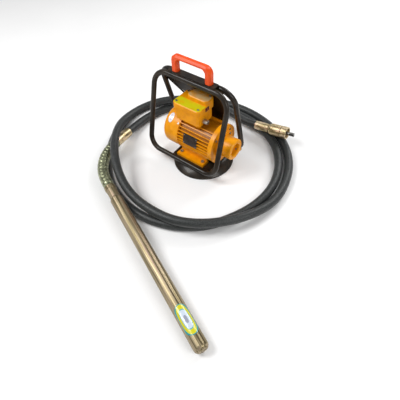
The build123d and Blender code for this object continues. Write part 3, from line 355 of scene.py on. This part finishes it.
def plated_material(name, ahead, stretch, streak_scale, brightness, relief):
    """Zinc plating whose streaks run along a direction."""
    material, tree, shader, places = start_material(name, Metallic=0.9)
    drawn_out = tree.nodes.new("ShaderNodeMapping")
    drawn_out.vector_type = "TEXTURE"
    drawn_out.inputs["Rotation"].default_value = ahead.to_track_quat("X", "Z").to_euler()
    drawn_out.inputs["Scale"].default_value = (stretch, 1, 1)
    effect = tree.nodes.new("ShaderNodeGroup")
    effect.node_tree = plating_group
    effect.inputs["Streak Scale"].default_value = streak_scale
    effect.inputs["Brightness"].default_value = brightness
    bump = tree.nodes.new("ShaderNodeBump")
    bump.inputs["Distance"].default_value = relief
    bump.inputs["Strength"].default_value = 0.5
    tree.links.new(places, drawn_out.inputs["Vector"])
    tree.links.new(drawn_out.outputs["Vector"], effect.inputs["Vector"])
    tree.links.new(effect.outputs["Color"], shader.inputs["Base Color"])
    tree.links.new(effect.outputs["Roughness"], shader.inputs["Roughness"])
    tree.links.new(effect.outputs["Height"], bump.inputs["Height"])
    tree.links.new(bump.outputs["Normal"], shader.inputs["Normal"])
    return material


finish_nodes(plated_material("poker_plating", poker_ahead, 60, 230, 0.56, 0.0003), "poker_neck", "poker_tube",
             "poker_tip")


def add_rings(material, places, centre, ahead, up, half_long, half_wide, fields):
    """Colour fields of an oval sticker: rounded rings about its middle, from the outside in."""
    tree = material.node_tree
    shader = tree.nodes["Principled BSDF"]
    offset = tree.nodes.new("ShaderNodeVectorMath")
    offset.operation = "SUBTRACT"
    offset.inputs[1].default_value = centre
    tree.links.new(places, offset.inputs[0])
    squares = []
    for axis, half in ((ahead, half_long), (ahead.cross(up), half_wide)):
        along = tree.nodes.new("ShaderNodeVectorMath")
        along.operation = "DOT_PRODUCT"
        along.inputs[1].default_value = axis / half
        tree.links.new(offset.outputs["Vector"], along.inputs[0])
        power = tree.nodes.new("ShaderNodeMath")
        power.operation = "POWER"
        power.inputs[1].default_value = 2.6
        size = tree.nodes.new("ShaderNodeMath")
        size.operation = "ABSOLUTE"
        tree.links.new(along.outputs["Value"], size.inputs[0])
        tree.links.new(size.outputs[0], power.inputs[0])
        squares.append(power)
    total = tree.nodes.new("ShaderNodeMath")
    tree.links.new(squares[0].outputs[0], total.inputs[0])
    tree.links.new(squares[1].outputs[0], total.inputs[1])
    tints = tree.nodes.new("ShaderNodeValToRGB")
    tints.color_ramp.interpolation = "CONSTANT"
    for index, (start, colour) in enumerate(fields):
        element = tints.color_ramp.elements[index] if index < 2 else tints.color_ramp.elements.new(start)
        element.position = start
        element.color = (*colour, 1)
    tree.links.new(total.outputs[0], tints.inputs["Fac"])
    tree.links.new(tints.outputs["Color"], shader.inputs["Base Color"])


sticker_material, tree, shader, places = start_material("poker_sticker_film", Roughness=0.28, Coat_Weight=0.4)
sticker_from_neck = 0.618
sticker_half_long = 0.0525
sticker_half_wide = 0.0205
sticker_centre = poker_start + poker_ahead * sticker_from_neck
poker_up = (Vector((0, 0, 1)) - poker_ahead * poker_ahead.z).normalized()
add_rings(sticker_material, places, sticker_centre, poker_ahead, poker_up, sticker_half_long,
          sticker_half_wide,
          [(0.0, (0.30, 0.32, 0.40)), (0.025, (0.56, 0.64, 0.74)), (0.26, (0.10, 0.40, 0.42)),
           (0.34, (0.62, 0.58, 0.004)), (0.86, (0.02, 0.30, 0.32))])
finish_nodes(sticker_material, "poker_sticker")

# ---- Ferrule, coupling and drive tip ----
# Turned fittings in pale yellow zinc: the ferrule is crimped on the hose, the coupling's grooved nut
# turns on its sleeve, and the cup that enters the motor's socket is dark inside.
ferrule_ahead = Vector((-0.026, 0.111, -0.018)).normalized()
coupling_ahead = Vector((0.040, 0.001, 0.006)).normalized()
finish_nodes(plated_material("ferrule_plating", ferrule_ahead, 4, 90, 1.1, 0.0001), "hose_ferrule")
finish_nodes(plated_material("coupling_plating", coupling_ahead, 4, 90, 1.1, 0.0001), "coupling_sleeve",
             "coupling_cup", "coupling_collar")
steel_material, tree, shader, places = start_material("machined_steel", Metallic=1.0)
add_grain(tree, shader, places, (0.32, 0.32, 0.31), (0.20, 0.19, 0.17), 120, 0.7, 700, 0.22, 0.42, 0.0002)
finish_nodes(steel_material, "drive_tip", "output_dog", "rotor_shaft", "shaft_key", "front_bearing",
             "rear_bearing", "poker_bearings", "poker_rotor", "flexible_core", "latch_spring")

# ---- Dish, swivel plate and tube cage ----
# Pressed and welded mild steel in glossy black paint, which has a warm brown cast and is mottled with
# dusty, scuffed patches.
cage_material, tree, shader, places = start_material("black_cage_paint", Specular_IOR_Level=0.25,
                                                     Coat_Weight=0.14, Coat_Roughness=0.14)
add_grain(tree, shader, places, (0.007, 0.0048, 0.003), (0.030, 0.020, 0.011), 26, 0.8, 420, 0.26, 0.46,
          0.00025)
finish_nodes(cage_material, "base_dish", "swivel_plate", "front_hoop", "rear_hoop", "back_panel", "brace_rod",
             "top_bar")

# ---- Carrying handle ----
# Moulded in glossy orange-red plastic, with flats along the grip.
handle_material, tree, shader, places = start_material("handle_plastic", Specular_IOR_Level=0.25)
add_grain(tree, shader, places, (0.80, 0.085, 0.008), (0.66, 0.052, 0.004), 35, 0.6, 800, 0.26, 0.42, 0.00015)
finish_nodes(handle_material, "handle")

# ---- Motor, socket and terminal box ----
# Cast aluminium and pressed steel, sprayed together in orange-yellow enamel that is mottled at random.
# Between the fins the enamel is painted shade, turning brown towards the fin roots.
motor_axis_height = 0.138
fin_root_radius = 0.070
fin_tip_radius = 0.083


def enamel_material(name):
    """Orange-yellow enamel: the material, its tree and shader, and the mottled colour's outlet."""
    material, tree, shader, places = start_material(name, Specular_IOR_Level=0.24, Coat_Weight=0.1,
                                                    Coat_Roughness=0.14)
    effect = add_grain(tree, shader, places, (0.88, 0.345, 0.0012), (0.70, 0.24, 0.001), 40, 0.7, 500,
                       0.26, 0.46, 0.0004)
    return material, tree, shader, places, effect.outputs["Color"]


def blend_colour(tree, mask, below, above):
    """Mix of a colour outlet and a plain colour, by a mask outlet."""
    colours = tree.nodes.new("ShaderNodeMix")
    colours.data_type = "RGBA"
    tree.links.new(mask, colours.inputs[0])
    tree.links.new(below, colours.inputs[6])
    colours.inputs[7].default_value = (*above, 1)
    return colours.outputs[2]


def ramp_mask(tree, value, start, stop):
    """Mask that rises from nought to one as a value goes from start to stop."""
    rise = tree.nodes.new("ShaderNodeMapRange")
    rise.inputs["From Min"].default_value = start
    rise.inputs["From Max"].default_value = stop
    tree.links.new(value, rise.inputs["Value"])
    return rise.outputs["Result"]


def join_masks(tree, first, second):
    """Mask that is one only where both masks are."""
    both = tree.nodes.new("ShaderNodeMath")
    both.operation = "MULTIPLY"
    tree.links.new(first, both.inputs[0])
    tree.links.new(second, both.inputs[1])
    return both.outputs[0]


smooth_enamel, tree, shader, places, colour = enamel_material("orange_enamel")
finish_nodes(smooth_enamel, "front_end_shield", "rear_end_shield", "fan_cover", "output_socket",
             "terminal_box")
finned_enamel, tree, shader, places, colour = enamel_material("finned_enamel")
from_axis = tree.nodes.new("ShaderNodeVectorMath")
from_axis.operation = "MULTIPLY_ADD"
from_axis.inputs[1].default_value = (0, 1, 1)
from_axis.inputs[2].default_value = (0, 0, -motor_axis_height)
tree.links.new(places, from_axis.inputs[0])
out_from_axis = tree.nodes.new("ShaderNodeVectorMath")
out_from_axis.operation = "LENGTH"
tree.links.new(from_axis.outputs["Vector"], out_from_axis.inputs[0])
# Painted shade: the enamel turns brown between the fins, deeper towards the fin roots.
fin_gap_painted_shade = (0.30, 0.105, 0.002)
fin_gap_shade_mask = ramp_mask(tree, out_from_axis.outputs["Value"], fin_tip_radius - 0.0015, fin_root_radius - 0.002)
tree.links.new(blend_colour(tree, fin_gap_shade_mask, colour, fin_gap_painted_shade), shader.inputs["Base Color"])
finish_nodes(finned_enamel, "stator_housing")

# ---- Terminal box lid ----
# A casting in the same enamel.  Its low front deck holds a glossy yellow-green film, and the pale gold
# patches on the top of its raised rear are painted highlight.
raised_deck_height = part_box("terminal_lid")[1][2]
low_deck_height = raised_deck_height - 0.017
film_rear_edge = -0.016
film_front_edge = -0.018
film_yellow = (0.66, 0.60, 0.008)
raised_top_painted_highlight = (0.66, 0.44, 0.19)


def deck_mask(height):
    """Mask of the lid's flat top at a height."""
    return ramp_mask(tree, parts_of_place.outputs["Z"], height - 0.0006, height - 0.0002)


lid_enamel, tree, shader, places, colour = enamel_material("lid_enamel")
parts_of_place = tree.nodes.new("ShaderNodeSeparateXYZ")
tree.links.new(places, parts_of_place.inputs["Vector"])
deck_noise = tree.nodes.new("ShaderNodeTexNoise")
deck_noise.inputs["Scale"].default_value = 34
tree.links.new(places, deck_noise.inputs["Vector"])
film_area = join_masks(tree, deck_mask(low_deck_height),
                       ramp_mask(tree, parts_of_place.outputs["Y"], film_rear_edge, film_front_edge))
film_share = join_masks(tree, film_area, ramp_mask(tree, deck_noise.outputs["Fac"], 0.10, 0.52))
filmed = blend_colour(tree, film_share, colour, film_yellow)
# Painted highlight: pale gold patches on the top face of the raised rear.
raised_top_highlight_share = join_masks(tree, deck_mask(raised_deck_height),
                        ramp_mask(tree, deck_noise.outputs["Fac"], 0.34, 0.60))
tree.links.new(blend_colour(tree, raised_top_highlight_share, filmed, raised_top_painted_highlight), shader.inputs["Base Color"])
finish_nodes(lid_enamel, "terminal_lid")

# ---- Weld beads ----
# Stitches of rippled weld that hold the hoops to the swivel plate and the top bar to the hoops, laid by
# hand before the cage was painted.
def weld_stitch(name, middle, length, radius):
    """One stitch along X: a row of overlapping flattened blobs, fused into one skin."""
    ripple = radius * 0.8
    bpy.ops.object.select_all(action="DESELECT")
    bpy.ops.mesh.primitive_uv_sphere_add(segments=16, ring_count=10, radius=radius)
    stitch = bpy.context.object
    stitch.name = name
    stitch.scale = (0.75, 1, 0.8)
    stitch.location = middle - Vector((length / 2, 0, 0))
    bpy.ops.object.transform_apply(location=True, rotation=True, scale=True)
    row = stitch.modifiers.new("ripples", "ARRAY")
    row.use_relative_offset = False
    row.use_constant_offset = True
    row.constant_offset_displace = (ripple, 0, 0)
    row.count = round(length / ripple)
    bpy.ops.object.modifier_apply(modifier="ripples")
    fused = stitch.modifiers.new("fused", "REMESH")
    fused.mode = "VOXEL"
    fused.voxel_size = radius * 0.16
    bpy.ops.object.modifier_apply(modifier="fused")
    bpy.ops.object.shade_smooth()
    stitch.data.materials.clear()
    stitch.data.materials.append(cage_material)
    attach(stitch, "swivel")


hoop_edge = 0.0936
plate_top = 0.0486
bar_edge = 0.0160
bar_foot = 0.3863
foot_weld_length = 0.044
foot_weld_radius = 0.0030
bar_weld_length = 0.036
bar_weld_radius = 0.0020
for side_name, side in (("front", -1), ("rear", 1)):
    for place, middle_x in (("left", -0.072), ("middle", 0.0), ("right", 0.072)):
        weld_stitch(f"{side_name}_{place}_foot_weld", Vector((middle_x, side * hoop_edge, plate_top)),
                    foot_weld_length, foot_weld_radius)
    for place, middle_x in (("left", -0.110), ("middle", -0.040), ("right", 0.030)):
        weld_stitch(f"{side_name}_{place}_bar_weld", Vector((middle_x, side * bar_edge, bar_foot)),
                    bar_weld_length, bar_weld_radius)

# ---- Screws, bolts and black mouldings ----
# Bright zinc-plated screws, bolts, gland and latch, and the parts moulded in black plastic: the thrust
# ring, the fan, the switch's body and what is in the box.
bright_zinc, tree, shader, places = start_material("bright_zinc", Metallic=0.9)
add_grain(tree, shader, places, (0.50, 0.49, 0.45), (0.34, 0.32, 0.26), 150, 0.8, 900, 0.25, 0.5, 0.0002)
finish_nodes(bright_zinc, "pivot_bolt", "pivot_washer", "handle_screws", "foot_bolts", "foot_nuts",
             "end_shield_screws", "fan_cover_screws", "socket_screws", "lid_screws", "latch_cap", "latch_pin",
             "cable_gland")
black_plastic, tree, shader, places = start_material("black_moulding", Specular_IOR_Level=0.4)
add_grain(tree, shader, places, (0.016, 0.015, 0.014), (0.03, 0.028, 0.026), 60, 0.6, 900, 0.35, 0.6, 0.0002)
finish_nodes(black_plastic, "thrust_ring", "cooling_fan", "terminal_block", "switch_body", "capacitor",
             "box_gasket", "poker_seal")

# ---- Nameplate ----
# A blank sheet, dark and curved round the fins, held by four small domed rivets.
plate_material, tree, shader, places = start_material("nameplate_sheet", Metallic=0.3)
add_grain(tree, shader, places, (0.020, 0.012, 0.008), (0.05, 0.032, 0.022), 90, 0.8, 700, 0.3, 0.5, 0.0001)
finish_nodes(plate_material, "nameplate")
nameplate_radius = 0.0842
rivet_radius = 0.0019
rivet_height = 0.0014
rivet_rounding = 0.00068
for end_name, rivet_x in (("rear", -0.035), ("front", 0.025)):
    for row_name, rivet_angle in (("upper", radians(156)), ("lower", radians(180))):
        rivet_out = Vector((0, cos(rivet_angle), sin(rivet_angle)))
        bpy.ops.object.select_all(action="DESELECT")
        bpy.ops.mesh.primitive_cylinder_add(vertices=20, radius=rivet_radius, depth=rivet_height)
        rivet = bpy.context.object
        rivet.name = f"{end_name}_{row_name}_rivet"
        rivet.rotation_euler = rivet_out.to_track_quat("Z", "Y").to_euler()
        rivet.location = rivet_out * nameplate_radius + Vector((rivet_x, 0, motor_axis_height))
        bpy.ops.object.transform_apply(location=True, rotation=True, scale=True)
        dome = rivet.modifiers.new("dome", "BEVEL")
        dome.width = rivet_rounding
        dome.segments = 3
        dome.limit_method = "ANGLE"
        bpy.ops.object.modifier_apply(modifier="dome")
        bpy.ops.object.shade_smooth()
        rivet.data.materials.append(bright_zinc)
        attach(rivet, "swivel")

# ---- Rocker and inner metals ----
# The switch's dark red rocker, and the motor's stacked core sheets and varnished copper windings.
rocker_material, tree, shader, places = start_material("rocker_plastic", Coat_Weight=0.3)
add_grain(tree, shader, places, (0.30, 0.045, 0.012), (0.22, 0.03, 0.01), 200, 0.6, 1200, 0.2, 0.35, 0.0001)
finish_nodes(rocker_material, "switch_rocker")
core_material, tree, shader, places = start_material("core_sheet_steel", Metallic=0.8)
add_grain(tree, shader, places, (0.12, 0.12, 0.12), (0.07, 0.065, 0.06), 80, 0.7, 1500, 0.4, 0.6, 0.0002)
finish_nodes(core_material, "stator_core", "rotor_core")
copper_material, tree, shader, places = start_material("varnished_copper", Metallic=0.7)
add_grain(tree, shader, places, (0.42, 0.14, 0.05), (0.28, 0.09, 0.03), 300, 0.8, 900, 0.3, 0.5, 0.0004)
finish_nodes(copper_material, "stator_windings")

# ---- Fan cover badge ----
# A blank pale film with a lilac middle, stuck on the side of the fan cover.
badge_material, tree, shader, places = start_material("badge_film", Roughness=0.25, Coat_Weight=0.4)
badge_low, badge_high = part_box("cover_badge")
badge_centre = (Vector(badge_low) + Vector(badge_high)) / 2
badge_angle = radians(128)
badge_out = Vector((0, cos(badge_angle), sin(badge_angle)))
badge_half_wide = 0.011
badge_half_tall = 0.0215
add_rings(badge_material, places, badge_centre, Vector((1, 0, 0)), badge_out, badge_half_wide,
          badge_half_tall,
          [(0.0, (0.52, 0.50, 0.62)), (0.25, (0.80, 0.80, 0.84)), (0.8, (0.55, 0.55, 0.60))])
finish_nodes(badge_material, "cover_badge")
